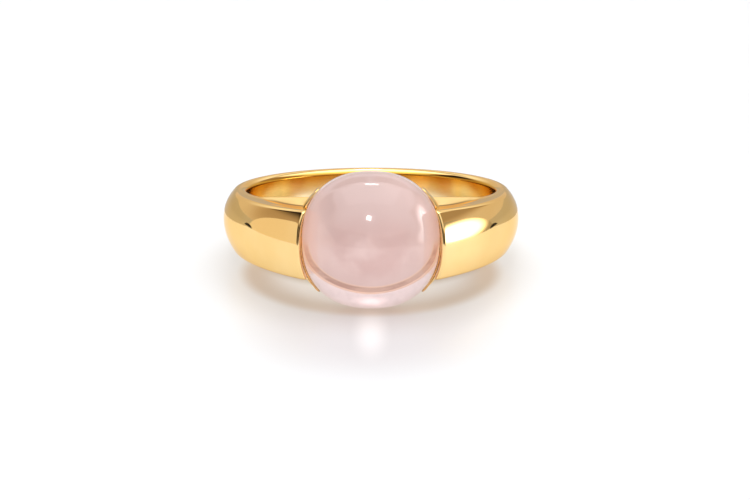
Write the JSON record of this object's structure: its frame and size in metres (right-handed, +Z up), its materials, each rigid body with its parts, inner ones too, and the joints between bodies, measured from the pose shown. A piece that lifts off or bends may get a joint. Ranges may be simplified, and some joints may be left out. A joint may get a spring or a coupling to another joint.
{
  "type": "finger ring",
  "caption": "Polished gold finger ring with a round, high-domed rose quartz held between two broad shoulders, lying on its side.",
  "frame": {"origin": "middle of the lowest face of the ring's box, on the surface the ring lies on", "axes": "+Z up from the surface; the stone faces -Y; the two shoulders mirror each other across the plane X = 0; the finger hole runs along +Z, leaning a little towards +Y"},
  "size_m": [0.0204, 0.0234, 0.0091],
  "materials": {
    "gold": "polished",
    "rose_quartz": "polished, milky"
  },
  "bodies": {
    "root": {"band": "gold", "stone": "rose_quartz"}
  },
  "joints": []
}
